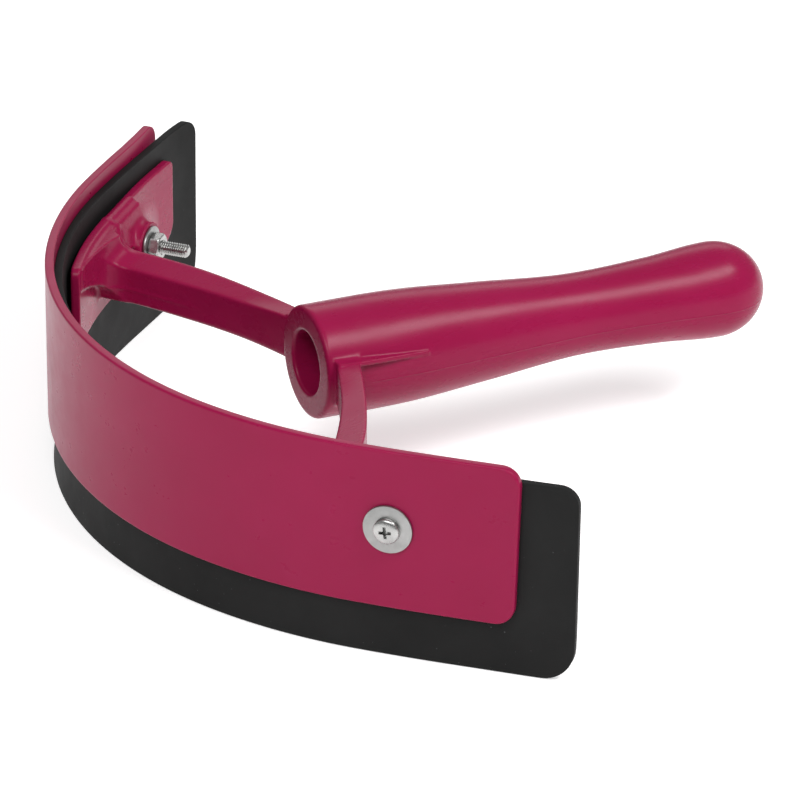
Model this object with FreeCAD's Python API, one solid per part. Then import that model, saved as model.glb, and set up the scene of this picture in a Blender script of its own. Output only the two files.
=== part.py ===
import FreeCAD, Part
import math
import os

# Horse sweat scraper: a bowed plastic band and a rubber blade, clamped together
# by two screws onto the two-armed yoke of a hand grip.
#
# Lengths are millimetres. The plan curve starts at the bow's apex, which faces -X,
# and runs towards +Y; everything is mirrored about the XZ plane. "Depth" is measured
# inwards from the band's outer face, "along" is arc length from the apex, and heights
# are above the blade's lower edge, on which the scraper stands.

Vector = FreeCAD.Vector
UP = Vector(0, 0, 1)

# Plan curve of the bow: (radius, arc length) of each bend, then straight to the end.
BENDS = [(124.0, 56.0), (144.0, 48.0), (480.0, 26.0)]

# Bow: blade and band.
BLADE_HEIGHT = 56.0
BLADE_THICKNESS = 2.3
BLADE_HALF_LENGTH = 166.0
BLADE_TOP_CORNER = 5.0
BLADE_LOW_CORNER = 8.5
BAND_HEIGHT = 46.0
BAND_THICKNESS = 2.5
BAND_HALF_LENGTH = 149.5
BAND_CORNER = 5.5
BAND_BOTTOM = 14.6
MIDDLE = BAND_BOTTOM + BAND_HEIGHT / 2

# Clamp pads of the yoke.
PAD_START = 63.0
PAD_END = 147.6
PAD_HEIGHT = 25.0
PAD_THICKNESS = 3.8
PAD_TOP_CORNER = 2.5
PAD_LOW_CORNER = 6.5
TAB_START = 101.0
TAB_END = 119.5
TAB_HEIGHT = 6.0
TAB_THICKNESS = 2.4
TAB_DROP = 0.4
OVERLAP = 1.0

# Arms of the yoke: plan centreline through three points, and the bar's section.
ARM_POINTS = [(74.0, 13.0), (60.6, 47.0), (37.0, 83.0)]
ARM_THICKNESS = 6.5
ARM_HEIGHT = 14.0
ARM_EDGE = 1.5
ROOT_START = 78.0
ROOT_END = 112.0
ROOT_REACH = 14.0
ROOT_HEIGHT = 17.0
ROOT_INSET = 0.5
ROOT_HOLLOW = 0.22

# Hand grip: outline as (distance from the front face, radius). Its axis dips towards the
# tip, about a pivot this far behind the front face.
GRIP_FRONT = 67.6
GRIP_PITCH = 0.8
GRIP_PIVOT = 36.0
GRIP_OUTLINE = [(3.0, 16.0), (29.0, 15.8), (53.0, 13.95), (83.0, 11.6), (107.0, 12.3), (126.0, 13.7)]
GRIP_TIP = 15.0
GRIP_MOUTH_EDGE = 1.2
BORE_RADIUS = 9.4
BORE_DEPTH = 55.0
BORE_FLOOR_EDGE = 2.5
RIB_SETBACK = 6.0
RIB_LENGTH = 24.0
RIB_REACH = 3.5
RIB_THICKNESS = 1.4
RIB_DROP = 1.0

# Fasteners: M4 pan-head machine screw, large outer washer, inner washer and hexagon nut.
SCREW_ALONG = 113.7
SCREW_LEVEL = MIDDLE + 0.6
SCREW_RADIUS = 1.95
SCREW_HOLE_RADIUS = 2.1
SCREW_LENGTH = 28.6
HEAD_RADIUS = 3.65
HEAD_HEIGHT = 2.1
HEAD_EDGE = 1.2
RECESS_WIDTH = 0.9
RECESS_SPAN = 4.2
RECESS_DEPTH = 1.4
OUTER_WASHER_RADIUS = 6.85
OUTER_WASHER_THICKNESS = 0.9
INNER_WASHER_RADIUS = 5.6
INNER_WASHER_THICKNESS = 0.8
NUT_ACROSS_FLATS = 7.0
NUT_HEIGHT = 3.2
NUT_CHAMFER = 0.97
SEAT_DEPTH = 15.5
BOSS_RADIUS = 8.2
BOSS_FOOT_RADIUS = 12.2


def heading_vectors(heading):
    """Tangent and outward normal of the plan curve for a heading in radians."""
    tangent = Vector(math.sin(heading), math.cos(heading), 0)
    normal = Vector(-math.cos(heading), math.sin(heading), 0)
    return tangent, normal


def stretches():
    """Every stretch of the plan curve: start point, heading, radius or None, and along range."""
    point = Vector(0, 0, 0)
    heading = 0.0
    along = 0.0
    for radius, length in BENDS:
        yield point, heading, radius, along, along + length
        tangent, normal = heading_vectors(heading)
        centre = point - normal * radius
        heading += length / radius
        along += length
        point = centre + heading_vectors(heading)[1] * radius
    yield point, heading, None, along, math.inf


def station(along):
    """Point, tangent and outward normal of the plan curve at an arc length from the apex."""
    for point, heading, radius, start, end in stretches():
        if along <= end:
            travel = along - start
            if radius is None:
                tangent, normal = heading_vectors(heading)
                return point + tangent * travel, tangent, normal
            centre = point - heading_vectors(heading)[1] * radius
            tangent, normal = heading_vectors(heading + travel / radius)
            return centre + normal * radius, tangent, normal


def spot(along, depth, height):
    """A point given by its arc length, its depth behind the band's outer face and its height."""
    point, tangent, normal = station(along)
    return point - normal * depth + UP * height


def section(along, outer, inner, low, high):
    """Face across a curved strip between two depths and two heights."""
    corners = [
        spot(along, outer, low),
        spot(along, outer, high),
        spot(along, inner, high),
        spot(along, inner, low),
    ]
    return Part.Face(Part.makePolygon(corners + corners[:1]))


def strip(outer, inner, low, high, start, end):
    """Strip that follows the bow from one arc length to another."""
    pieces = []
    for point, heading, radius, from_along, to_along in stretches():
        first = max(start, from_along)
        last = min(end, to_along)
        if last <= first:
            continue
        face = section(first, outer, inner, low, high)
        if radius is None:
            pieces.append(face.extrude(station(first)[1] * (last - first)))
        else:
            centre = point - heading_vectors(heading)[1] * radius
            turn = math.degrees((last - first) / radius)
            pieces.append(face.revolve(centre, UP, -turn))
    return pieces[0].multiFuse(pieces[1:]).removeSplitter() if len(pieces) > 1 else pieces[0]


def corner_cutter(along, height, radius, side):
    """What a rounded end corner leaves off; side is +1 for a top corner and -1 for a low one."""
    spare = 2.0
    through = 30.0
    inset = radius * math.sqrt(0.5)

    def at(travel, climb):
        return spot(along + travel, -spare, height + side * climb)

    arc = Part.Arc(at(-radius, 0), at(inset - radius, inset - radius), at(0, -radius))
    corners = [at(0, -radius), at(spare, -radius), at(spare, spare), at(-radius, spare), at(-radius, 0)]
    outline = Part.Wire([arc.toShape(), Part.makePolygon(corners)])
    return Part.Face(outline).extrude(station(along)[2] * -through)


def mirrored(shape):
    return shape.mirror(Vector(0, 0, 0), Vector(0, 1, 0))


def both_halves(half):
    return half.fuse(mirrored(half)).removeSplitter()


def rod(along, radius, from_depth, to_depth):
    """Cylinder on a screw axis, square to the band."""
    inwards = station(along)[2] * -1
    return Part.makeCylinder(radius, to_depth - from_depth, spot(along, from_depth, SCREW_LEVEL), inwards)


def screw_hole():
    """Clearance hole through the whole clamped stack."""
    return rod(SCREW_ALONG, SCREW_HOLE_RADIUS, -5, SCREW_LENGTH)


def outer_band():
    low = BAND_BOTTOM
    high = BAND_BOTTOM + BAND_HEIGHT
    half = strip(0, BAND_THICKNESS, low, high, 0, BAND_HALF_LENGTH)
    half = half.cut(corner_cutter(BAND_HALF_LENGTH, high, BAND_CORNER, 1))
    half = half.cut(corner_cutter(BAND_HALF_LENGTH, low, BAND_CORNER, -1))
    return both_halves(half.cut(screw_hole()))


def rubber_blade():
    inner = BAND_THICKNESS + BLADE_THICKNESS
    half = strip(BAND_THICKNESS, inner, 0, BLADE_HEIGHT, 0, BLADE_HALF_LENGTH)
    half = half.cut(corner_cutter(BLADE_HALF_LENGTH, BLADE_HEIGHT, BLADE_TOP_CORNER, 1))
    half = half.cut(corner_cutter(BLADE_HALF_LENGTH, 0, BLADE_LOW_CORNER, -1))
    return both_halves(half.cut(screw_hole()))


def clamp_pad():
    """Pad that presses the blade against the band, with a raised tab at its top edge."""
    face_depth = BAND_THICKNESS + BLADE_THICKNESS
    back_depth = face_depth + PAD_THICKNESS
    low = MIDDLE - PAD_HEIGHT / 2
    high = MIDDLE + PAD_HEIGHT / 2
    plate = strip(face_depth, back_depth, low, high, PAD_START, PAD_END)
    plate = plate.cut(corner_cutter(PAD_END, high, PAD_TOP_CORNER, 1))
    plate = plate.cut(corner_cutter(PAD_END, low, PAD_LOW_CORNER, -1))
    tab_back = back_depth + TAB_THICKNESS
    tab = strip(back_depth - OVERLAP, tab_back, high - TAB_HEIGHT, high - TAB_DROP, TAB_START, TAB_END)
    return plate.fuse(tab)


def nut_boss():
    """Tapered boss that carries the washer and nut above the pad."""
    foot = BAND_THICKNESS + BLADE_THICKNESS + PAD_THICKNESS / 2
    inwards = station(SCREW_ALONG)[2] * -1
    base = spot(SCREW_ALONG, foot, SCREW_LEVEL)
    return Part.makeCone(BOSS_FOOT_RADIUS, BOSS_RADIUS, SEAT_DEPTH - foot, base, inwards)


def arm_arc():
    start, middle, end = [Vector(x, y, MIDDLE) for x, y in ARM_POINTS]
    return Part.Arc(start, middle, end).toShape()


def arm():
    """Bar of the yoke, bent in plan along one arc."""
    circle = arm_arc().Curve
    centre = circle.Center
    ends = [Vector(x, y, MIDDLE) for x, y in ARM_POINTS]

    def offset_arc(radius, order):
        return Part.Arc(*[centre + (ends[i] - centre).normalize() * radius for i in order]).toShape()

    low = UP * (-ARM_HEIGHT / 2)
    outside = offset_arc(circle.Radius + ARM_THICKNESS / 2, (0, 1, 2))
    inside = offset_arc(circle.Radius - ARM_THICKNESS / 2, (2, 1, 0))
    start_edge = Part.LineSegment(inside.lastVertex().Point, outside.firstVertex().Point).toShape()
    end_edge = Part.LineSegment(outside.lastVertex().Point, inside.firstVertex().Point).toShape()
    plan = Part.Face(Part.Wire([outside, end_edge, inside, start_edge])).translated(low)
    bar = plan.extrude(UP * ARM_HEIGHT)
    long_edges = [edge for edge in bar.Edges if edge.Length > ARM_HEIGHT * 2]
    return bar.makeFillet(ARM_EDGE, long_edges)


def arm_root():
    """Web that widens the arm where it meets its pad, hollowed on both sides."""
    foot = BAND_THICKNESS + BLADE_THICKNESS + PAD_THICKNESS / 2
    near = spot(ROOT_START, foot, MIDDLE)
    far = spot(ROOT_END, foot, MIDDLE)
    end = Vector(*ARM_POINTS[2], MIDDLE)
    radial = (end - arm_arc().Curve.Center).normalize()
    neck = end + radial.cross(UP) * ROOT_REACH
    inside = neck - radial * (ARM_THICKNESS / 2 - ROOT_INSET)
    outside = neck + radial * (ARM_THICKNESS / 2 - ROOT_INSET)

    def hollow(first, last):
        middle = (first + last) * 0.5
        return Part.Arc(first, middle + (end - middle) * ROOT_HOLLOW, last).toShape()

    sides = [
        hollow(near, inside),
        Part.LineSegment(inside, outside).toShape(),
        hollow(outside, far),
        Part.LineSegment(far, near).toShape(),
    ]
    plan = Part.Face(Part.Wire(sides)).translated(UP * (-ROOT_HEIGHT / 2))
    return plan.extrude(UP * ROOT_HEIGHT)


def side_rib():
    """Thin tapered rib along the grip, behind the arm and level with its top."""
    top = MIDDLE + ARM_HEIGHT / 2 - RIB_DROP
    start = GRIP_FRONT + RIB_SETBACK
    end = start + RIB_LENGTH
    barrel = math.sqrt(GRIP_OUTLINE[0][1] ** 2 - (top - MIDDLE) ** 2)
    wall = barrel - RIB_REACH
    outline = [(start, wall), (start, barrel + RIB_REACH), (end, barrel), (end, wall)]
    points = [Vector(x, y, top - RIB_THICKNESS) for x, y in outline]
    return Part.Face(Part.makePolygon(points + points[:1])).extrude(UP * RIB_THICKNESS)


def pitched(shape):
    """Shape turned with the grip, from a level axis to the one that dips towards the tip."""
    return shape.rotated(Vector(GRIP_FRONT + GRIP_PIVOT, 0, MIDDLE), Vector(0, 1, 0), GRIP_PITCH)


def grip():
    """Turned outline of the hand grip, still without its bore."""
    stations = [Vector(GRIP_FRONT + x, 0, MIDDLE + radius) for x, radius in GRIP_OUTLINE]
    curve = Part.BSplineCurve()
    curve.interpolate(stations, InitialTangent=Vector(1, 0, 0), FinalTangent=Vector(1, 0, 0))
    waist_end = stations[-1]
    centre = Vector(waist_end.x, 0, MIDDLE)
    tip = centre + Vector(GRIP_TIP, 0, 0)
    half = math.sqrt(0.5)
    cap = Part.Arc(Part.Ellipse(tip, waist_end, centre), 0, math.pi / 2)
    front_radius = GRIP_OUTLINE[0][1]
    shoulder = Vector(GRIP_FRONT + GRIP_MOUTH_EDGE, 0, MIDDLE + front_radius)
    rim = Vector(GRIP_FRONT, 0, MIDDLE + front_radius - GRIP_MOUTH_EDGE)
    rim_middle = rim + Vector(GRIP_MOUTH_EDGE * (1 - half), 0, GRIP_MOUTH_EDGE * half)
    edges = [
        Part.LineSegment(Vector(GRIP_FRONT, 0, MIDDLE), rim),
        Part.Arc(rim, rim_middle, shoulder),
        Part.LineSegment(shoulder, stations[0]),
        curve,
        cap,
        Part.LineSegment(tip, Vector(GRIP_FRONT, 0, MIDDLE)),
    ]
    wire = Part.Wire(Part.__sortEdges__([edge.toShape() for edge in edges]))
    return pitched(Part.Face(wire).revolve(Vector(0, 0, MIDDLE), Vector(1, 0, 0), 360))


def bore():
    """Blind core hole in the front of the grip, with a rounded floor."""
    axis = Vector(1, 0, 0)
    mouth = Vector(GRIP_FRONT - 1, 0, MIDDLE)
    shaft = Part.makeCylinder(BORE_RADIUS, BORE_DEPTH + 1, mouth, axis)
    floor_edges = [edge for edge in shaft.Edges if edge.CenterOfMass.x > GRIP_FRONT + BORE_DEPTH - 1e-3]
    return pitched(shaft.makeFillet(BORE_FLOOR_EDGE, floor_edges))


def handle_yoke():
    side = arm().fuse([arm_root(), clamp_pad(), nut_boss(), side_rib()])
    face_depth = BAND_THICKNESS + BLADE_THICKNESS
    stack = strip(-OVERLAP, face_depth, 0, 2 * MIDDLE, ROOT_START / 2, BLADE_HALF_LENGTH)
    side = side.cut([stack, screw_hole()])
    whole = grip().fuse([side, mirrored(side)])
    return whole.cut(bore()).removeSplitter()


def outer_washer():
    return rod(SCREW_ALONG, OUTER_WASHER_RADIUS, -OUTER_WASHER_THICKNESS, 0).cut(screw_hole())


def inner_washer():
    back = SEAT_DEPTH + INNER_WASHER_THICKNESS
    return rod(SCREW_ALONG, INNER_WASHER_RADIUS, SEAT_DEPTH, back).cut(screw_hole())


def hexagon_nut():
    """Hexagon nut with one corner up and a turned chamfer on its free face."""
    seat = SEAT_DEPTH + INNER_WASHER_THICKNESS
    point, tangent, normal = station(SCREW_ALONG)
    corner = NUT_ACROSS_FLATS / math.sqrt(3)
    centre = spot(SCREW_ALONG, seat, SCREW_LEVEL)
    corners = []
    for index in range(7):
        angle = math.radians(60 * index)
        corners.append(centre + tangent * (corner * math.sin(angle)) + UP * (corner * math.cos(angle)))
    prism = Part.Face(Part.makePolygon(corners)).extrude(normal * -NUT_HEIGHT)
    free_radius = NUT_ACROSS_FLATS / 2 * NUT_CHAMFER
    turned = Part.makeCone(free_radius + NUT_HEIGHT, free_radius, NUT_HEIGHT, centre, normal * -1)
    nut = prism.common(turned)
    return nut.cut(rod(SCREW_ALONG, SCREW_RADIUS, seat - 1, seat + NUT_HEIGHT + 1))


def machine_screw():
    """Pan-head screw with a cross recess."""
    under_head = -OUTER_WASHER_THICKNESS
    point, tangent, normal = station(SCREW_ALONG)
    head = rod(SCREW_ALONG, HEAD_RADIUS, under_head - HEAD_HEIGHT, under_head)
    crown = spot(SCREW_ALONG, under_head - HEAD_HEIGHT, SCREW_LEVEL)
    crown_edges = [edge for edge in head.Edges if (edge.CenterOfMass - crown).Length < 1e-3]
    head = head.makeFillet(HEAD_EDGE, crown_edges)
    for direction in (tangent, UP):
        across = direction.cross(normal) * (RECESS_WIDTH / 2)
        reach = direction * (RECESS_SPAN / 2)
        near_end = crown - reach
        far_end = crown + reach
        corners = [near_end - across, far_end - across, far_end + across, near_end + across]
        slot = Part.Face(Part.makePolygon(corners + corners[:1])).extrude(normal * -RECESS_DEPTH)
        head = head.cut(slot)
    shank = rod(SCREW_ALONG, SCREW_RADIUS, under_head, under_head + SCREW_LENGTH)
    return head.fuse(shank).removeSplitter()


def build():
    """Every node by name, placed so that the origin is the middle of the footprint."""
    nodes = {
        "outer_band": outer_band(),
        "rubber_blade": rubber_blade(),
        "handle_yoke": handle_yoke(),
    }
    fasteners = {
        "screw": machine_screw(),
        "outer_washer": outer_washer(),
        "inner_washer": inner_washer(),
        "nut": hexagon_nut(),
    }
    for name, shape in fasteners.items():
        nodes[name + "_left"] = shape
        nodes[name + "_right"] = mirrored(shape)
    bounds = Part.makeCompound(list(nodes.values())).optimalBoundingBox()
    to_origin = Vector(-(bounds.XMin + bounds.XMax) / 2, 0, 0)
    return {name: shape.translated(to_origin) for name, shape in nodes.items()}


os.makedirs("parts", exist_ok=True)
for node, shape in build().items():
    box = shape.BoundBox
    print(node, shape.ShapeType, len(shape.Solids), shape.isValid(), round(shape.Volume, 1),
          [round(v, 1) for v in (box.XMin, box.XMax, box.YMin, box.YMax, box.ZMin, box.ZMax)])
    shape.exportStep(f"parts/{node}.step")
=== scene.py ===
import math
import bmesh
import bpy
import numpy as np
from mathutils import Matrix, Vector


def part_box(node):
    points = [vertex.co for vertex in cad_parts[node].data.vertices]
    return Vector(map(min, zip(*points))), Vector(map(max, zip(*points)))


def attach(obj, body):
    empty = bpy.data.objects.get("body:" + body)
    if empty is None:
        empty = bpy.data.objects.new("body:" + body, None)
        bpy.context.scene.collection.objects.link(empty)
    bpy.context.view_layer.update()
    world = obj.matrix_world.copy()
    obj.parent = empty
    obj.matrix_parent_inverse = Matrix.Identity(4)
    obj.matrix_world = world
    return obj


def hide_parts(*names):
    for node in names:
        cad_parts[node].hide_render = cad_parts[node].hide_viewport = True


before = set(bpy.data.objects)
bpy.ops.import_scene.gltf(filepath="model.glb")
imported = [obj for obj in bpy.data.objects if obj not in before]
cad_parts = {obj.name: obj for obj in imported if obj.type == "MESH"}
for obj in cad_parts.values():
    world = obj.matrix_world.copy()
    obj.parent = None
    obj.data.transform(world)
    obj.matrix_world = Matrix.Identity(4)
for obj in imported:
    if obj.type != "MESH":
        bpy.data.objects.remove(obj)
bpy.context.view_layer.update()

# Lengths below are millimetres in the bow's own frame: the apex of the band's outer face is the
# origin in plan, +X runs towards the grip and heights are above the floor. "Depth" is measured
# inwards from the band's outer face and "along" is arc length from the apex, positive towards +Y.
MM = 0.001
APEX_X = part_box("outer_band")[0][0]

BENDS = [(124.0, 56.0), (144.0, 48.0), (480.0, 26.0)]
BAND_THICKNESS = 2.5
BAND_ENDS = (-149.5, 149.0)
BAND_SLANT = 1.4
BAND_SPRING = 1.2
BAND_BOTTOM, BAND_TOP = (round(corner[2] / MM, 2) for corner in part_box("outer_band"))
MIDDLE = (BAND_BOTTOM + BAND_TOP) / 2
BLADE_THICKNESS = 2.3
BLADE_ENDS = (-164.6, 166.0)
BLADE_SLANT = 0.6
LIP_FLARE = 1.2
END_CURL = (0.4, 1.4)
BLADE_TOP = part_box("rubber_blade")[1][2] / MM
CLAMP_DEPTH = BAND_THICKNESS + BLADE_THICKNESS
SCREW_ALONG = 113.7
SCREW_LEVEL = MIDDLE + 0.6
SEAT_DEPTH = 15.5
WASHER_OUT = 0.9
WASHER_IN = 0.8
NUT_HEIGHT = 3.2
SCREW_LENGTH = 28.6


# ---------------------------------------------------------------- the bow's plan curve

def bend_starts():
    """(centre, radius, start heading, start along) of each bend, then the straight's start."""
    point = np.zeros(2)
    heading = 0.0
    along = 0.0
    starts = []
    for radius, length in BENDS:
        normal = np.array([-math.cos(heading), math.sin(heading)])
        centre = point - normal * radius
        starts.append((centre, radius, heading, along))
        heading += length / radius
        along += length
        point = centre + np.array([-math.cos(heading), math.sin(heading)]) * radius
    return starts, (point, heading, along)


ARCS, STRAIGHT = bend_starts()


def spot(along, depth, height):
    """Arrays of along, depth and height to points, in millimetres, mirrored for negative along."""
    along, depth, height = np.broadcast_arrays(along, depth, height)
    reach = np.abs(along)
    end_point, end_heading, end_along = STRAIGHT
    heading = np.full(reach.shape, end_heading)
    travel = np.maximum(reach - end_along, 0.0)
    x = end_point[0] + math.sin(end_heading) * travel + math.cos(end_heading) * depth
    y = end_point[1] + math.cos(end_heading) * travel - math.sin(end_heading) * depth
    for centre, radius, start, begin in reversed(ARCS):
        here = reach < begin + (dict(BENDS)[radius])
        heading = np.where(here, start + (reach - begin) / radius, heading)
        x = np.where(here, centre[0] - np.cos(heading) * (radius - depth), x)
        y = np.where(here, centre[1] + np.sin(heading) * (radius - depth), y)
    return np.stack([x, y * np.where(along < 0, -1.0, 1.0), height], axis=-1)


def unroll(x, y):
    """Points in plan, with y not negative, to their along and depth."""
    end_point, end_heading, end_along = STRAIGHT
    tangent = (math.sin(end_heading), math.cos(end_heading))
    rel_x, rel_y = x - end_point[0], y - end_point[1]
    along = end_along + rel_x * tangent[0] + rel_y * tangent[1]
    depth = rel_x * tangent[1] - rel_y * tangent[0]
    for centre, radius, start, begin in reversed(ARCS):
        away_x, away_y = x - centre[0], y - centre[1]
        heading = np.arctan2(away_y, -away_x)
        here = heading < start + dict(BENDS)[radius] / radius
        along = np.where(here, begin + (heading - start) * radius, along)
        depth = np.where(here, radius - np.hypot(away_x, away_y), depth)
    return along, depth


def screw_frame(side):
    """Matrix whose Z axis runs inwards along a screw, from the band's outer face."""
    foot = spot(SCREW_ALONG, 0.0, SCREW_LEVEL)
    inner = spot(SCREW_ALONG, 1.0, SCREW_LEVEL)
    inwards = Vector(inner - foot)
    up = Vector((0, 0, 1))
    across = up.cross(inwards)
    matrix = Matrix((across, up, inwards)).transposed().to_4x4()
    matrix.translation = Vector(foot)
    if side < 0:
        matrix = Matrix.Diagonal((1, -1, 1, 1)) @ matrix @ Matrix.Diagonal((-1, 1, 1, 1))
    return matrix


# ---------------------------------------------------------------- mesh helpers

def to_row(points):
    """Millimetres in the bow's frame to metres in the row frame."""
    placed = np.asarray(points, dtype=float) * MM
    placed[..., 0] += APEX_X
    return placed


def make_piece(name, points, faces, material, nodes, slot):
    """A smooth-shaded piece that stands for its CAD nodes."""
    mesh = bpy.data.meshes.new(name)
    mesh.from_pydata([tuple(p) for p in to_row(points)], [], [tuple(f) for f in faces])
    merged = bmesh.new()
    merged.from_mesh(mesh)
    bmesh.ops.remove_doubles(merged, verts=merged.verts, dist=1e-7)
    merged.to_mesh(mesh)
    merged.free()
    mesh.validate()
    mesh.shade_smooth()
    piece = bpy.data.objects.new(name, mesh)
    bpy.context.scene.collection.objects.link(piece)
    piece.data.materials.append(material)
    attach(piece, "root")
    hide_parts(*nodes)
    return piece


def ring_faces(first, second):
    """Quads between two closed loops of vertex numbers."""
    count = len(first)
    return [(first[i], first[(i + 1) % count], second[(i + 1) % count], second[i]) for i in range(count)]


def slab(start, end, low, high, low_corner, top_corner, outer, thickness, edges, slant, bend):
    """Strip that follows the bow, with rounded corners and rolled edges, as points and faces.

    The edges are the rolls of the outer and inner rims; the ends lean in by slant at the bottom;
    bend gives an extra depth for arrays of along and height.
    """
    along_steps, height_steps, corner_steps = 170, 22, 10
    rows = np.linspace(0, 1, height_steps)[:, None]
    turn = np.linspace(0, math.pi / 2, corner_steps)[:-1]
    flat = np.linspace(0, 1, along_steps)

    def side(corner, inset, height, climb):
        """Along and height of the lower or the upper long side, corners included."""
        radius = corner - inset
        first, last = start + inset + radius, end - inset - radius
        along = np.concatenate([first - radius * np.cos(turn), first + flat * (last - first),
                                last + radius * np.cos(turn[::-1])])
        drop = np.concatenate([radius * (1 - np.sin(turn)), np.zeros(flat.shape),
                               radius * (1 - np.sin(turn[::-1]))])
        return along, height + climb * (inset + drop)

    def grid(inset, depth):
        low_along, low_height = side(low_corner, inset, low, 1.0)
        top_along, top_height = side(top_corner, inset, high, -1.0)
        along = low_along + (top_along - low_along) * rows
        height = low_height + (top_height - low_height) * rows
        lean = 1 - slant / (end - start) * 2 * (high - height) / (high - low)
        return spot(along * lean, depth + bend(along, height), height)

    def rim(cells):
        """The border of a grid as one closed loop."""
        return np.concatenate([cells[0, :-1], cells[:-1, -1], cells[-1, :0:-1], cells[:0:-1, 0]])

    points = []
    faces = []

    def add_face(inset, depth, flip):
        placed_grid = grid(inset, depth)
        number = len(points) + np.arange(placed_grid.shape[0] * placed_grid.shape[1])
        number = number.reshape(placed_grid.shape[:2])
        points.extend(placed_grid.reshape(-1, 3))
        quads = np.stack([number[:-1, :-1], number[:-1, 1:], number[1:, 1:], number[1:, :-1]], axis=-1)
        quads = quads.reshape(-1, 4)
        faces.extend((quads[:, ::-1] if flip else quads).tolist())
        return rim(number).tolist()

    def add_loop(inset, depth):
        loop = rim(grid(inset, depth))
        points.extend(loop)
        return list(range(len(points) - len(loop), len(points)))

    roll = np.linspace(0, math.pi / 2, 5)
    outer_edge, inner_edge = edges
    back = outer + thickness
    loops = [add_face(outer_edge * 1.6, outer, False)]
    for angle in roll:
        inset, sink = outer_edge * (1 - math.sin(angle)), outer_edge * (1 - math.cos(angle))
        loops.append(add_loop(inset, outer + sink))
    for angle in roll[::-1]:
        inset, sink = inner_edge * (1 - math.sin(angle)), inner_edge * (1 - math.cos(angle))
        loops.append(add_loop(inset, back - sink))
    loops.append(add_face(inner_edge * 1.6, back, True))
    for first, second in zip(loops, loops[1:]):
        faces.extend(ring_faces(second, first))
    return np.array(points), faces


def lathe(outline, steps=64):
    """Closed surface turned about Z from (radius, height) points, bottom axis point to top."""
    points = []
    loops = []
    for radius, height in outline:
        if radius < 1e-6:
            loops.append([len(points)])
            points.append((0.0, 0.0, height))
            continue
        angles = np.linspace(0, 2 * math.pi, steps, endpoint=False)
        loops.append(list(range(len(points), len(points) + steps)))
        points.extend(zip(radius * np.cos(angles), radius * np.sin(angles), [height] * steps))
    faces = []
    for first, second in zip(loops, loops[1:]):
        if len(first) == 1:
            faces.extend((first[0], second[(i + 1) % steps], second[i]) for i in range(steps))
        elif len(second) == 1:
            faces.extend((first[i], first[(i + 1) % steps], second[0]) for i in range(steps))
        else:
            faces.extend(ring_faces(first, second))
    return np.array(points), faces


def placed(points, matrix):
    """Points of a fastener moved by its screw frame."""
    return np.array([matrix @ Vector(p) for p in points])


# ---------------------------------------------------------------- signed distances of the yoke

PAD_START, PAD_END = 63.0, 147.6
PAD_HALF_HEIGHT = 12.5
PAD_CORNERS = (2.5, 6.5)
PAD_THICKNESS = 2.6
PAD_GAP = 1.2
TAB_START, TAB_END = 100.5, 118.5
TAB_THICKNESS = 2.3
TAB_TOP = 12.2
ARM_POINTS = [(74.0, 13.0), (60.6, 47.0), (37.0, 83.0)]
ARM_THICKNESS = 6.5
ARM_HEIGHT = 13.2
GRIP_FRONT = 67.6
GRIP_PITCH = math.radians(0.8)
GRIP_PIVOT = GRIP_FRONT + 36.0
GRIP_OUTLINE = [(3.0, 16.0), (29.0, 15.8), (53.0, 13.95), (83.0, 11.6), (107.0, 12.3), (126.0, 13.7)]
GRIP_TIP = 15.0
MOUTH_EDGE = 1.5
BORE_RADIUS = 9.0
BORE_DEPTH = 55.0
RIB_END = 97.0
RIB_THICKNESS = 1.4
RIB_FALL = 1.9
BOSS_RADIUS = 7.3
SEAT_RADIUS = 6.4
HOLE_RADIUS = 2.1
WEB_START, WEB_END = 66.0, 101.0
WEB_TOP = 11.6
ARM_FILLET, FLARE_FILLET, PAD_FILLET, GRIP_FILLET = 7.0, 5.0, 1.4, 1.6


def join(a, b, reach):
    """Union with a fillet about as wide as reach."""
    blend = np.maximum(reach - np.abs(a - b), 0.0) / reach
    return np.minimum(a, b) - blend * blend * reach / 4


def meet(a, b, reach):
    """Intersection with a rounded edge."""
    return -join(-a, -b, reach)


def rounded_bar(first, second, edge):
    """Distance to a bar's corner-rounded section, from the two distances to its sides."""
    a, b = first + edge, second + edge
    return np.hypot(np.maximum(a, 0), np.maximum(b, 0)) + np.minimum(np.maximum(a, b), 0) - edge


def box_distance(value, low, high):
    return np.abs(value - (low + high) / 2) - (high - low) / 2


def circle_through(points):
    (ax, ay), (bx, by), (cx, cy) = points
    system = 2 * np.array([[bx - ax, by - ay], [cx - ax, cy - ay]])
    right = np.array([bx * bx - ax * ax + by * by - ay * ay, cx * cx - ax * ax + cy * cy - ay * ay])
    centre = np.linalg.solve(system, right)
    return centre, math.hypot(ax - centre[0], ay - centre[1])


def grip_distance(x, y, climb):
    """Turned outline of the grip about its own axis, with a rounded front edge."""
    stations = np.array(GRIP_OUTLINE) + np.array([GRIP_FRONT, 0.0])
    radius = hermite(x, stations)
    centre = stations[-1][0]
    radial = np.hypot(y, climb)
    side = radial - radius
    tip_ratio = np.hypot((x - centre) / GRIP_TIP, radial / stations[-1][1])
    cap = (tip_ratio - 1) * stations[-1][1]
    body = np.where(x > centre, cap, side)
    return meet(body, GRIP_FRONT - x, MOUTH_EDGE)


def hermite(x, stations):
    """Smooth curve through the stations, level at both ends."""
    xs, ys = stations[:, 0], stations[:, 1]
    slopes = np.gradient(ys, xs)
    slopes[0] = slopes[-1] = 0.0
    x = np.clip(x, xs[0], xs[-1])
    cell = np.clip(np.searchsorted(xs, x, side="right") - 1, 0, len(xs) - 2)
    span = xs[cell + 1] - xs[cell]
    t = (x - xs[cell]) / span
    rise = ys[cell] * (1 + 2 * t) * (1 - t) ** 2 + ys[cell + 1] * t * t * (3 - 2 * t)
    return rise + span * (slopes[cell] * t * (1 - t) ** 2 - slopes[cell + 1] * t * t * (1 - t))


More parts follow.
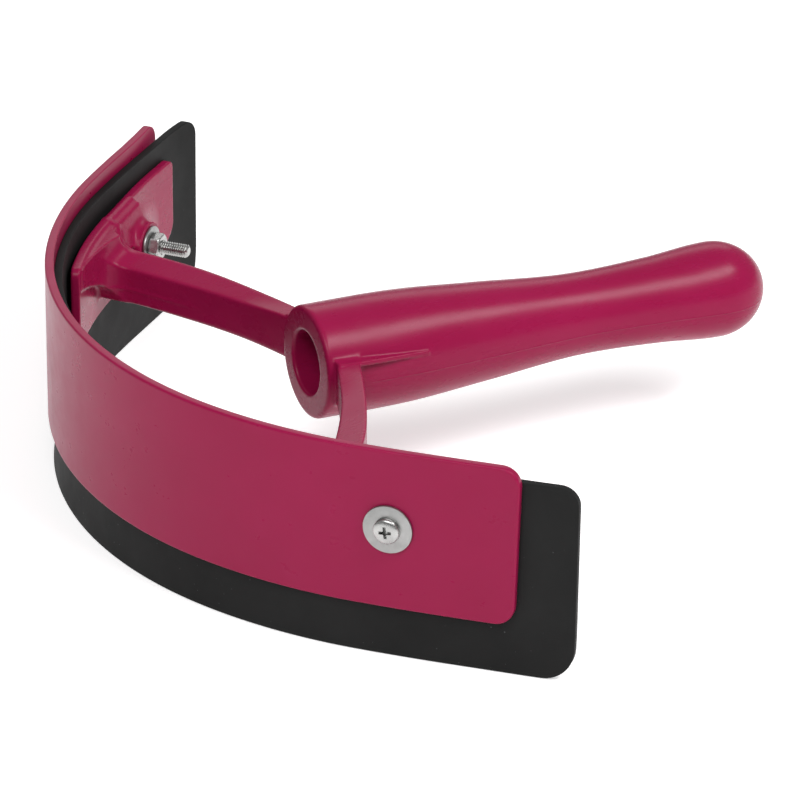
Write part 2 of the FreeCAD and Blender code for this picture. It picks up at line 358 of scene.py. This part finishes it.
def ease(value, low, high):
    """Smooth step from 0 at low to 1 at high."""
    t = np.clip((value - low) / (high - low), 0.0, 1.0)
    return t * t * (3 - 2 * t)


def arm_distance(x, y, climb):
    """Bent bar whose top face dips towards the bow, with a fine parting ridge near the pad."""
    centre, radius = circle_through(ARM_POINTS)
    side = np.hypot(x - centre[0], y - centre[1]) - radius
    half = ARM_THICKNESS / 2 + 0.9 * ease(y, 30.0, 60.0)
    ridge = 0.28 * np.clip(1 - np.abs(climb + 1.9) / 0.8, 0.0, 1.0) * ease(y, 44.0, 58.0)
    dip = 0.26 * ease(y, 16.0, 36.0)
    top = (climb - ARM_HEIGHT / 2 + dip * (half - side)) * 0.97
    bar = meet(np.abs(side) - half - ridge, top, 0.7)
    bar = meet(bar, -climb - ARM_HEIGHT / 2, 1.6)
    return np.maximum(bar, 9.5 - y)


def pad_distance(along, behind, climb):
    """Plate and raised tab; behind is the depth from the plate's front face."""
    corner = np.where(climb > 0, *PAD_CORNERS)
    outline = rounded_bar(box_distance(along, PAD_START, PAD_END), np.abs(climb) - PAD_HALF_HEIGHT, corner)
    plate = rounded_bar(outline, box_distance(behind, 0.0, PAD_THICKNESS), 0.35)
    proud = behind - PAD_THICKNESS
    lid = climb - TAB_TOP + 0.45 * proud
    tab_outline = np.maximum(box_distance(along, TAB_START, TAB_END), np.maximum(lid * 0.9, 3.0 - climb))
    front = (proud - TAB_THICKNESS - 0.35 * (11.2 - climb)) * 0.94
    tab = meet(tab_outline, np.maximum(front, 1.0 - behind), 0.4)
    return join(plate, tab, 0.6)


def flare_distance(aside, height, climb, foot):
    """Boss under the nut, which spreads into the pad as a wide, low, concave flare."""
    spread_out = np.clip((SEAT_DEPTH - height) / (SEAT_DEPTH - foot), 0.0, 1.3)
    reach = BOSS_RADIUS + 17.2 * spread_out ** 2.6
    rise = BOSS_RADIUS + 4.4 * spread_out ** 1.6
    ratio = np.hypot(aside / reach, (climb + 3.0 * spread_out) / rise)
    return np.maximum((ratio - 1) * rise, height - SEAT_DEPTH)


def web_distance(along, behind, climb):
    """Low wedge on the apex side of the arm, which rises from the pad's upper corner."""
    run = along - WEB_START
    rise = 0.4 + 0.06 * run + 0.0045 * np.maximum(run, 0.0) ** 2
    rise = rise + (TAB_THICKNESS - 0.3 - rise) * ease(along, 92.5, 97.5)
    roof = behind - PAD_THICKNESS - rise
    floor = 5.8 - 0.35 * run - climb
    outline = np.maximum(box_distance(along, WEB_START, WEB_END), np.maximum(floor * 0.94, climb - WEB_TOP))
    return np.maximum(outline, roof * 0.9)


def side_distance(x, y, z):
    """Arm, pad, tab, nut boss and side rib of one half, y not negative."""
    along, depth = unroll(x, y)
    climb = z - MIDDLE
    gap = PAD_GAP * (1 - ease(along, 104.0, 136.0))
    behind = depth - CLAMP_DEPTH - gap

    foot = spot(SCREW_ALONG, 0.0, SCREW_LEVEL)
    inwards = spot(SCREW_ALONG, 1.0, SCREW_LEVEL) - foot
    height = (x - foot[0]) * inwards[0] + (y - foot[1]) * inwards[1]
    aside = (x - foot[0]) * inwards[1] - (y - foot[1]) * inwards[0]
    from_axis = np.hypot(aside, z - SCREW_LEVEL)

    arm = np.maximum(arm_distance(x, y, climb), -behind)
    pad = pad_distance(along, behind, climb)
    flare = np.maximum(flare_distance(aside, height, climb, CLAMP_DEPTH + PAD_THICKNESS), 1.0 - behind)
    web = np.maximum(web_distance(along, behind, climb), 1.0 - behind)
    root = join(join(arm, web, ARM_FILLET), flare, FLARE_FILLET)
    half = join(root, pad, PAD_FILLET)
    seat = -np.maximum(from_axis - SEAT_RADIUS, SEAT_DEPTH - height)
    half = meet(half, seat, 0.4)
    half = np.maximum(half, HOLE_RADIUS - from_axis)
    return half, np.minimum(depth - CLAMP_DEPTH, behind)


def rib_distance(x, y, climb):
    """Thin ledge that carries the arm's top on along the barrel and tapers out."""
    run = np.clip((x - GRIP_FRONT) / (RIB_END - GRIP_FRONT), 0.0, 1.0)
    top = ARM_HEIGHT / 2 + 0.2 - RIB_FALL * run
    reach = 15.6 + 3.0 * (1 - run)
    plan = np.maximum(y - reach, box_distance(x, GRIP_FRONT + 2.0, RIB_END + 1.0))
    return rounded_bar(plan, np.abs(climb - top + RIB_THICKNESS / 2) - RIB_THICKNESS / 2, 0.25)


def yoke_field(x, y, z):
    """Signed distance of the whole moulding; x, y and z broadcast to one grid."""
    across = np.abs(y)
    half, behind = side_distance(x, across, z)
    run, climb = x - GRIP_PIVOT, z - MIDDLE
    grip_x = GRIP_PIVOT + run * math.cos(GRIP_PITCH) - climb * math.sin(GRIP_PITCH)
    grip_climb = run * math.sin(GRIP_PITCH) + climb * math.cos(GRIP_PITCH)
    grip = grip_distance(grip_x, y, grip_climb)
    rib = rib_distance(grip_x, across, grip_climb)
    whole = join(join(grip, half, GRIP_FILLET), rib, 0.5)
    floor = grip_x - (GRIP_FRONT + BORE_DEPTH)
    bore = meet(np.hypot(y, grip_climb) - BORE_RADIUS, floor, 3.0)
    whole = meet(whole, -bore, 0.9)
    return np.where(across > 30.0, np.maximum(whole, -behind), whole)


def surface_net(field, origin, step):
    """Quads on the zero surface of a sampled field, one vertex per crossed cell."""
    inside = field < 0
    cell_shape = tuple(n - 1 for n in field.shape)
    corners = [(i, j, k) for i in (0, 1) for j in (0, 1) for k in (0, 1)]

    def corner_view(array, corner):
        return array[tuple(slice(c, c + n) for c, n in zip(corner, cell_shape))]

    count = sum(corner_view(inside, c).astype(np.int8) for c in corners)
    cells = np.argwhere((count > 0) & (count < 8))
    number = np.full(cell_shape, -1, dtype=np.int32)
    number[tuple(cells.T)] = np.arange(len(cells))
    total = np.zeros((len(cells), 3))
    crossings = np.zeros(len(cells))
    for first in corners:
        for axis in range(3):
            if first[axis]:
                continue
            second = tuple(1 if i == axis else c for i, c in enumerate(first))
            a = field[tuple((cells + first).T)]
            b = field[tuple((cells + second).T)]
            crossed = (a < 0) != (b < 0)
            fraction = np.where(crossed, a / np.where(crossed, a - b, 1.0), 0.0)
            place = np.array(first, dtype=float)[None] + np.eye(3)[axis][None] * fraction[:, None]
            total += np.where(crossed[:, None], place, 0.0)
            crossings += crossed
    points = (cells + total / crossings[:, None]) * step + np.array(origin)
    quads = []
    for axis in range(3):
        u, v = [a for a in range(3) if a != axis]
        low = [slice(None)] * 3
        high = [slice(None)] * 3
        low[axis] = slice(0, -1)
        high[axis] = slice(1, None)
        starts, ends = inside[tuple(low)], inside[tuple(high)]
        for leaving in (True, False):
            edges = np.argwhere((starts & ~ends) if leaving else (~starts & ends))
            edges = edges[(edges[:, u] > 0) & (edges[:, v] > 0)]
            around = []
            for du, dv in ((-1, -1), (0, -1), (0, 0), (-1, 0)):
                shift = np.zeros(3, dtype=int)
                shift[u], shift[v] = du, dv
                around.append(number[tuple((edges + shift).T)])
            quad = np.stack(around, axis=-1)
            keep_order = leaving == (axis != 1)
            quads.append(quad if keep_order else quad[:, ::-1])
    return points, np.concatenate(quads)


def settle(points, tries):
    """Moves points along the field's slope onto its zero surface."""
    probe = 0.05
    for _ in range(tries):
        x, y, z = points.T
        value = yoke_field(x, y, z)
        slope = np.stack([
            yoke_field(x + probe, y, z) - yoke_field(x - probe, y, z),
            yoke_field(x, y + probe, z) - yoke_field(x, y - probe, z),
            yoke_field(x, y, z + probe) - yoke_field(x, y, z - probe),
        ], axis=-1) / (2 * probe)
        steepness = np.maximum((slope ** 2).sum(axis=-1), 0.25)
        shift = slope * (value / steepness)[:, None]
        points = points - np.clip(shift, -0.2, 0.2)
    return points


def build_yoke(material):
    """Samples the moulding's distance field where the moulding is, and skins it."""
    step = 0.45
    # The box that holds the moulding, and the three blocks of it that hold arms, pads and grip.
    low = np.array([16.0, -121.0, 18.0])
    high = np.array([212.0, 121.0, 57.0])
    axes = [np.arange(a, b, step) + step * 0.31 for a, b in zip(low, high)]
    field = np.full(tuple(len(a) for a in axes), 5.0, dtype=np.float32)
    blocks = [
        ((16.0, 90.0), (-121.0, -8.0)),
        ((16.0, 90.0), (8.0, 121.0)),
        ((64.0, 212.0), (-20.0, 20.0)),
    ]
    for x_range, y_range in blocks:
        x_cells = slice(*np.searchsorted(axes[0], x_range))
        y_cells = slice(*np.searchsorted(axes[1], y_range))
        x = axes[0][x_cells][:, None, None]
        y = axes[1][y_cells][None, :, None]
        z = axes[2][None, None, :]
        values = yoke_field(x, y, z).astype(np.float32)
        field[x_cells, y_cells] = np.minimum(field[x_cells, y_cells], values)
    origin = [a[0] for a in axes]
    points, quads = surface_net(field, origin, step)
    points = settle(points, 2)
    return make_piece("handle_yoke_moulding", points, quads.tolist(), material,
                      ["handle_yoke"], "handle_plastic")


# ---------------------------------------------------------------- materials

def new_material(name):
    material = bpy.data.materials.new(name)
    material.use_nodes = True
    nodes = material.node_tree.nodes
    links = material.node_tree.links
    shader = nodes["Principled BSDF"]
    place = nodes.new("ShaderNodeTexCoord").outputs["Object"]
    return material, nodes, links, shader, place


def noise(nodes, links, place, scale, detail=4.0, rough=0.55, stretch=None):
    """Noise texture, in features per metre; stretch scales the coordinates first."""
    if stretch:
        mapping = nodes.new("ShaderNodeMapping")
        mapping.inputs["Scale"].default_value = stretch
        links.new(place, mapping.inputs["Vector"])
        place = mapping.outputs["Vector"]
    texture = nodes.new("ShaderNodeTexNoise")
    texture.inputs["Scale"].default_value = scale
    texture.inputs["Detail"].default_value = detail
    texture.inputs["Roughness"].default_value = rough
    links.new(place, texture.inputs["Vector"])
    return texture.outputs["Fac"]


def ramp(nodes, links, value, stops):
    """Colour ramp with (position, colour) stops."""
    node = nodes.new("ShaderNodeValToRGB")
    elements = node.color_ramp.elements
    while len(elements) < len(stops):
        elements.new(0.5)
    for element, (position, colour) in zip(elements, stops):
        element.position = position
        element.color = (*colour, 1.0)
    links.new(value, node.inputs["Fac"])
    return node.outputs["Color"]


def spread(nodes, links, value, low, high):
    """Maps 0..1 to a range."""
    node = nodes.new("ShaderNodeMapRange")
    node.inputs["To Min"].default_value = low
    node.inputs["To Max"].default_value = high
    links.new(value, node.inputs["Value"])
    return node.outputs["Result"]


def bump(nodes, links, height, strength, distance, under=None):
    node = nodes.new("ShaderNodeBump")
    node.inputs["Strength"].default_value = strength
    node.inputs["Distance"].default_value = distance
    links.new(height, node.inputs["Height"])
    if under:
        links.new(under, node.inputs["Normal"])
    return node.outputs["Normal"]


def math_node(nodes, links, operation, first, second):
    node = nodes.new("ShaderNodeMath")
    node.operation = operation
    for socket, value in zip(node.inputs, (first, second)):
        if isinstance(value, (int, float)):
            socket.default_value = value
        else:
            links.new(value, socket)
    return node.outputs[0]


def parting_line(nodes, links, place):
    """Height of the mould's parting line, a hair below the grip's axis."""
    split = nodes.new("ShaderNodeSeparateXYZ")
    links.new(place, split.inputs[0])
    pivot = APEX_X + GRIP_PIVOT * MM
    level = (MIDDLE - 1.4) * MM + pivot * math.tan(GRIP_PITCH)
    tilted = math_node(nodes, links, "MULTIPLY_ADD", split.outputs["X"], math.tan(GRIP_PITCH))
    tilted.node.inputs[2].default_value = -level
    offset = math_node(nodes, links, "ADD", split.outputs["Z"], tilted)
    away = math_node(nodes, links, "ABSOLUTE", offset, 0.0)
    front = math_node(nodes, links, "LESS_THAN", split.outputs["X"], APEX_X + (GRIP_FRONT + 13.0) * MM)
    away = math_node(nodes, links, "ADD", away, front)
    node = nodes.new("ShaderNodeMapRange")
    node.interpolation_type = "SMOOTHSTEP"
    node.inputs["From Min"].default_value = 0.05 * MM
    node.inputs["From Max"].default_value = 0.35 * MM
    node.inputs["To Min"].default_value = 1.0
    node.inputs["To Max"].default_value = 0.0
    links.new(away, node.inputs["Value"])
    return node.outputs["Result"]


def plastic_material(name, deep, light, roughness, parted):
    """Semi-gloss moulded plastic: cloudy pigment, smears, scuffs and a fine orange peel."""
    material, nodes, links, shader, place = new_material(name)
    cloud = noise(nodes, links, place, 22.0, 3.0)
    pigment = ramp(nodes, links, cloud, [(0.3, deep), (0.7, light)])
    scuff = noise(nodes, links, place, 420.0, 6.0, 0.75, stretch=(0.25, 1.0, 1.0))
    patches = noise(nodes, links, place, 30.0, 2.0)
    worn = math_node(nodes, links, "MULTIPLY", scuff, patches)
    mask = ramp(nodes, links, worn, [(0.34, (0.0, 0.0, 0.0)), (0.58, (0.14, 0.14, 0.14))])
    mix = nodes.new("ShaderNodeMix")
    mix.data_type = "RGBA"
    mix.inputs["B"].default_value = (0.42, 0.06, 0.13, 1.0)
    links.new(mask, mix.inputs["Factor"])
    links.new(pigment, mix.inputs["A"])
    links.new(mix.outputs["Result"], shader.inputs["Base Color"])
    smear = noise(nodes, links, place, 160.0, 5.0, 0.6, stretch=(0.4, 1.0, 1.4))
    links.new(spread(nodes, links, smear, roughness - 0.07, roughness + 0.09), shader.inputs["Roughness"])
    orange_peel = noise(nodes, links, place, 900.0, 2.0)
    broad = noise(nodes, links, place, 60.0, 2.0)
    normal = bump(nodes, links, broad, 0.20, 0.0006)
    normal = bump(nodes, links, orange_peel, 0.10, 0.00006, normal)
    if parted:
        normal = bump(nodes, links, parting_line(nodes, links, place), 0.5, 0.0002, normal)
    links.new(normal, shader.inputs["Normal"])
    shader.inputs["IOR"].default_value = 1.49
    shader.inputs["Specular IOR Level"].default_value = 0.16
    shader.inputs["Subsurface Weight"].default_value = 0.12
    shader.inputs["Subsurface Radius"].default_value = (0.004, 0.0006, 0.0012)
    shader.inputs["Subsurface Scale"].default_value = 0.6
    return material


def rubber_material():
    """Matt sheet rubber with a fine grain, soft marks and a few dust specks."""
    material, nodes, links, shader, place = new_material("black_rubber")
    cloud = noise(nodes, links, place, 35.0, 4.0)
    base = ramp(nodes, links, cloud, [(0.3, (0.010, 0.010, 0.010)), (0.75, (0.015, 0.015, 0.015))])
    specks = nodes.new("ShaderNodeTexVoronoi")
    specks.inputs["Scale"].default_value = 420.0
    links.new(place, specks.inputs["Vector"])
    sparse = noise(nodes, links, place, 90.0, 2.0)
    limit = spread(nodes, links, sparse, -0.10, 0.20)
    dust = math_node(nodes, links, "LESS_THAN", specks.outputs["Distance"], limit)
    mix = nodes.new("ShaderNodeMix")
    mix.data_type = "RGBA"
    mix.inputs["B"].default_value = (0.045, 0.045, 0.047, 1.0)
    links.new(dust, mix.inputs["Factor"])
    links.new(base, mix.inputs["A"])
    links.new(mix.outputs["Result"], shader.inputs["Base Color"])
    grain = noise(nodes, links, place, 1400.0, 3.0, 0.7)
    sheet = noise(nodes, links, place, 120.0, 3.0)
    links.new(spread(nodes, links, sheet, 0.48, 0.68), shader.inputs["Roughness"])
    under = bump(nodes, links, sheet, 0.2, 0.0002)
    links.new(bump(nodes, links, grain, 0.35, 0.00006, under), shader.inputs["Normal"])
    shader.inputs["Specular IOR Level"].default_value = 0.10
    return material


def steel_material(name, dark, bright, roughness, brush):
    """Zinc-plated steel: a cloudy plate with fine marks in the turning direction."""
    material, nodes, links, shader, place = new_material(name)
    cloud = noise(nodes, links, place, 300.0, 4.0)
    links.new(ramp(nodes, links, cloud, [(0.3, dark), (0.7, bright)]), shader.inputs["Base Color"])
    scratches = noise(nodes, links, place, 700.0, 5.0, 0.7, stretch=brush)
    worn = spread(nodes, links, scratches, roughness - 0.08, roughness + 0.14)
    links.new(worn, shader.inputs["Roughness"])
    links.new(bump(nodes, links, scratches, 0.25, 0.00003), shader.inputs["Normal"])
    shader.inputs["Metallic"].default_value = 1.0
    return material


# ---------------------------------------------------------------- the pieces

def band_bend(along, height):
    """The far end springs outwards a little beyond its clamp."""
    return -BAND_SPRING * np.clip((along - 126.0) / 23.0, 0.0, 1.0) ** 1.7


def blade_bend(along, height):
    """Outward flare of the free lower lip, and the inward curl of the two free ends."""
    lip = np.clip((BAND_BOTTOM - height) / BAND_BOTTOM, 0.0, 1.0)
    curl = np.where(along < 0, END_CURL[0], END_CURL[1])
    end = np.clip((np.abs(along) - 150.0) / 16.0, 0.0, 1.0)
    return curl * end ** 2 - LIP_FLARE * lip ** 1.5


def build_bow(plastic, rubber):
    band = slab(*BAND_ENDS, BAND_BOTTOM, BAND_TOP, 5.5, 5.5, 0.0, BAND_THICKNESS,
                (0.6, 0.3), BAND_SLANT, band_bend)
    make_piece("outer_band_shell", *band, plastic, ["outer_band"], "band_plastic")
    blade = slab(*BLADE_ENDS, 0.0, BLADE_TOP, 8.5, 5.5, BAND_THICKNESS, BLADE_THICKNESS,
                 (0.25, 0.25), BLADE_SLANT, blade_bend)
    make_piece("rubber_blade_sheet", *blade, rubber, ["rubber_blade"], "blade_rubber")


LARGE_WASHER_RADIUS = 6.85
NUT_WASHER_RADIUS = 5.6
WASHER_BORE = 2.15
SHARP_ANGLE = math.radians(38)
FASTENER_TURN = math.radians(-6)
HEAD_RADIUS = 3.65
HEAD_HEIGHT = 2.1
RECESS_SPAN = 4.3
RECESS_WIDTH = 0.95
RECESS_DEPTH = 1.5
THREAD_RADIUS = 1.95
THREAD_DEPTH = 0.42
THREAD_PITCH = 0.7
NUT_FLATS = 7.0
TURNS = 72


def rows_to_mesh(radii, heights):
    """Closed surface about Z from rows of radii, ending on the axis at both ends."""
    turn = np.linspace(0, 2 * math.pi, TURNS, endpoint=False)
    radii = np.array([np.broadcast_to(row, turn.shape) for row in radii])
    heights = np.array([np.broadcast_to(row, turn.shape) for row in heights])
    rings = np.stack([radii * np.cos(turn), radii * np.sin(turn), heights], axis=-1)
    points = np.concatenate([rings.reshape(-1, 3), [[0, 0, heights[0, 0]], [0, 0, heights[-1, 0]]]])
    number = np.arange(radii.size).reshape(radii.shape)
    faces = []
    for lower, upper in zip(number, number[1:]):
        faces.extend(ring_faces(lower.tolist(), upper.tolist()))
    start, end = radii.size, radii.size + 1
    first, last = number[0].tolist(), number[-1].tolist()
    faces.extend((start, first[(i + 1) % TURNS], first[i]) for i in range(TURNS))
    faces.extend((end, last[i], last[(i + 1) % TURNS]) for i in range(TURNS))
    return points, faces


def washer(radius, thickness, bottom):
    """Stamped washer with one rolled and one crisper rim."""
    edge = 0.18
    inner = WASHER_BORE
    outline = [
        (inner, bottom), (radius - edge, bottom), (radius - edge * 0.3, bottom + edge * 0.3),
        (radius, bottom + edge), (radius, bottom + thickness - edge),
        (radius - edge * 0.3, bottom + thickness - edge * 0.3), (radius - edge, bottom + thickness),
        (inner + edge, bottom + thickness), (inner, bottom + thickness - edge), (inner, bottom),
    ]
    return lathe(outline, 96)


def screw():
    """Pan head, crown towards -Z, and a right-hand threaded shank with a chamfered tip."""
    bearing = -WASHER_OUT
    tip = bearing + SCREW_LENGTH
    radii = []
    heights = []
    for angle in np.linspace(0.12, math.pi / 2, 14):
        radii.append(HEAD_RADIUS * math.sin(angle) ** 0.85)
        heights.append(bearing - HEAD_HEIGHT * (0.30 + 0.70 * math.cos(angle) ** 0.6))
    radii += [HEAD_RADIUS, HEAD_RADIUS - 0.15, HEAD_RADIUS - 0.4]
    heights += [bearing - 0.3, bearing - 0.05, bearing]
    turn = np.linspace(0, 2 * math.pi, TURNS, endpoint=False)
    for height in np.arange(bearing + 0.01, tip, THREAD_PITCH / 10):
        phase = (height / THREAD_PITCH - turn / (2 * math.pi)) % 1.0
        groove = np.clip(np.abs(phase * 2 - 1) * 1.35 - 0.15, 0, 1)
        chamfer = THREAD_RADIUS - 0.75 + (tip - height) * 1.2
        radii.append(np.minimum(THREAD_RADIUS - THREAD_DEPTH * groove, chamfer))
        heights.append(height)
    return rows_to_mesh(radii, heights)


def recess_wing(quarter):
    """One tapered wing of the cross recess, as eight points and six faces."""
    crown = -WASHER_OUT - HEAD_HEIGHT
    points = []
    for height, span, width in ((crown - 1.0, RECESS_SPAN * 1.1, RECESS_WIDTH * 1.15),
                                (crown + RECESS_DEPTH, RECESS_SPAN * 0.4, RECESS_WIDTH * 0.6)):
        for a, b in ((-1, -1), (1, -1), (1, 1), (-1, 1)):
            across, along = a * span / 2, b * width / 2
            points.append((across, along, height) if quarter else (-along, across, height))
    faces = [(3, 2, 1, 0), (4, 5, 6, 7), (0, 1, 5, 4), (1, 2, 6, 5), (2, 3, 7, 6), (3, 0, 4, 7)]
    return points, faces


def cut(piece, points, faces):
    """Takes a closed shape, in the row frame, out of a piece and bakes the result."""
    mesh = bpy.data.meshes.new("cutter")
    mesh.from_pydata([tuple(p) for p in points], [], faces)
    cutter = bpy.data.objects.new("cutter", mesh)
    bpy.context.scene.collection.objects.link(cutter)
    modifier = piece.modifiers.new("cut", "BOOLEAN")
    modifier.operation = "DIFFERENCE"
    modifier.solver = "EXACT"
    modifier.object = cutter
    bpy.context.view_layer.update()
    evaluated = piece.evaluated_get(bpy.context.evaluated_depsgraph_get())
    result = bpy.data.meshes.new_from_object(evaluated)
    piece.modifiers.clear()
    piece.data = result
    bpy.data.objects.remove(cutter)


def nut():
    """Hexagon nut, chamfered by turning on both faces, with a countersunk bore."""
    seat = SEAT_DEPTH + WASHER_IN
    turn = np.linspace(0, 2 * math.pi, TURNS, endpoint=False)
    sixth = math.pi / 3
    around = (turn + sixth / 2 - math.radians(6) + math.pi / 2) % sixth - sixth / 2
    flats = NUT_FLATS / 2 / np.cos(around)
    bore, sink = 1.62, 2.2
    chamfered = NUT_FLATS / 2 * 0.95
    radii = [np.full(TURNS, bore), np.full(TURNS, bore), np.full(TURNS, sink), np.full(TURNS, chamfered)]
    heights = [seat + NUT_HEIGHT / 2, seat + sink - bore, seat, seat]
    for rise in np.linspace(0.05, NUT_HEIGHT - 0.05, 24):
        from_face = min(rise, NUT_HEIGHT - rise)
        radii.append(np.minimum(flats, chamfered + from_face * 1.75))
        heights.append(seat + rise)
    top = seat + NUT_HEIGHT
    radii += [np.full(TURNS, chamfered), np.full(TURNS, sink), np.full(TURNS, bore), np.full(TURNS, bore)]
    heights += [top, top, top - (sink - bore), seat + NUT_HEIGHT / 2]
    points, faces = rows_to_mesh(radii, heights)
    disc_faces = 2 * TURNS
    return points[:-2], faces[:-disc_faces]


def build_fasteners(zinc, washer_zinc):
    for side, name in ((1, "left"), (-1, "right")):
        matrix = screw_frame(side)

        def piece(label, shape, material, node, slot):
            points, faces = shape
            made = make_piece(f"{label}_{name}", placed(points, matrix), faces, material,
                              [f"{node}_{name}"], slot)
            made.data.set_sharp_from_angle(angle=SHARP_ANGLE)
            return made

        outer = washer(LARGE_WASHER_RADIUS, WASHER_OUT, -WASHER_OUT)
        inner = washer(NUT_WASHER_RADIUS, WASHER_IN, SEAT_DEPTH)
        piece("large_washer", outer, washer_zinc, "outer_washer", "washer_steel")
        piece("nut_washer", inner, washer_zinc, "inner_washer", "washer_steel")
        piece("hexagon_nut", nut(), zinc, "nut", "zinc_steel")
        pan_head = piece("pan_head_screw", screw(), zinc, "screw", "zinc_steel")
        for quarter in (0, 1):
            points, faces = recess_wing(quarter)
            turned = Matrix.Rotation(FASTENER_TURN, 4, "Z")
            cut(pan_head, to_row(placed([turned @ Vector(p) for p in points], matrix)), faces)
        pan_head.data.shade_smooth()
        pan_head.data.set_sharp_from_angle(angle=SHARP_ANGLE)


yoke_plastic = plastic_material("handle_magenta", (0.245, 0.0045, 0.045), (0.27, 0.0060, 0.053), 0.27, True)
band_plastic = plastic_material("band_magenta", (0.245, 0.0045, 0.045), (0.27, 0.0060, 0.053), 0.29, False)
rubber = rubber_material()
zinc = steel_material(
    "bright_zinc", (0.36, 0.36, 0.355), (0.50, 0.50, 0.49), 0.25, (1.0, 1.0, 1.0))
washer_zinc = steel_material(
    "satin_zinc", (0.29, 0.29, 0.285), (0.38, 0.38, 0.375), 0.36, (1.0, 3.0, 0.6))

build_bow(band_plastic, rubber)
build_yoke(yoke_plastic)
build_fasteners(zinc, washer_zinc)


# ---------------------------------------------------------------- stage, light and camera

def build_stage():
    mesh = bpy.data.meshes.new("floor")
    half = 3.0
    corners = [(-half, -half, 0), (half, -half, 0), (half, half, 0), (-half, half, 0)]
    mesh.from_pydata(corners, [], [(0, 1, 2, 3)])
    floor = bpy.data.objects.new("floor", mesh)
    floor.location.z = -0.0002
    bpy.context.scene.collection.objects.link(floor)
    material, nodes, links, shader, place = new_material("pale_floor")
    cloud = noise(nodes, links, place, 3.0, 2.0)
    pale = ramp(nodes, links, cloud, [(0.2, (0.79, 0.79, 0.79)), (0.8, (0.82, 0.82, 0.82))])
    links.new(pale, shader.inputs["Base Color"])
    shader.inputs["Emission Color"].default_value = (1.0, 1.0, 1.0, 1.0)
    shader.inputs["Emission Strength"].default_value = 0.5
    shader.inputs["Roughness"].default_value = 0.9
    floor.data.materials.append(material)


def area_light(name, place, target, size, power):
    light = bpy.data.lights.new(name, "AREA")
    light.shape = "RECTANGLE"
    light.size, light.size_y = size
    light.energy = power
    lamp = bpy.data.objects.new(name, light)
    lamp.location = place
    lamp.rotation_euler = (Vector(target) - Vector(place)).to_track_quat("-Z", "Y").to_euler()
    bpy.context.scene.collection.objects.link(lamp)


def build_lights():
    world = bpy.data.worlds.new("studio")
    world.use_nodes = True
    world.node_tree.nodes["Background"].inputs["Color"].default_value = (1.0, 1.0, 1.0, 1.0)
    world.node_tree.nodes["Background"].inputs["Strength"].default_value = 0.3
    bpy.context.scene.world = world
    area_light("key", (0.50, -0.62, 1.10), (0, 0, 0.03), (1.0, 0.35), 13.0)
    area_light("front_fill", (-0.75, -0.75, 1.15), (0, 0, 0.03), (0.9, 0.6), 11.5)
    area_light("back", (0.45, 1.25, 0.75), (0, 0, 0.03), (1.4, 0.5), 3.0)


def build_camera():
    """Long lens, looking down across the right-hand end of the bow."""
    azimuth, elevation, roll = (math.radians(a) for a in (-24.79, 26.27, 0.34))
    distance = 1.6626
    aim_along_x, shift_right, shift_down = 62.73 * MM, 30.43 * MM, 9.08 * MM
    level = math.cos(elevation)
    back = Vector((math.sin(azimuth) * level, -math.cos(azimuth) * level, math.sin(elevation)))
    right = Vector((math.cos(azimuth), math.sin(azimuth), 0.0))
    up = back.cross(right)
    turned_right = right * math.cos(roll) + up * math.sin(roll)
    turned_up = up * math.cos(roll) - right * math.sin(roll)
    bow_point = Vector((APEX_X + aim_along_x, 0.0, MIDDLE * MM))
    aim = bow_point + turned_right * shift_right - turned_up * shift_down
    camera = bpy.data.objects.new("camera", bpy.data.cameras.new("camera"))
    camera.data.sensor_width = 36.0
    camera.data.lens = 271.24
    turn = Matrix((turned_right, turned_up, back)).transposed().to_4x4()
    camera.matrix_world = Matrix.Translation(aim + back * distance) @ turn
    bpy.context.scene.collection.objects.link(camera)
    bpy.context.scene.camera = camera


build_stage()
build_lights()
build_camera()
bpy.context.scene.view_settings.view_transform = "Standard"
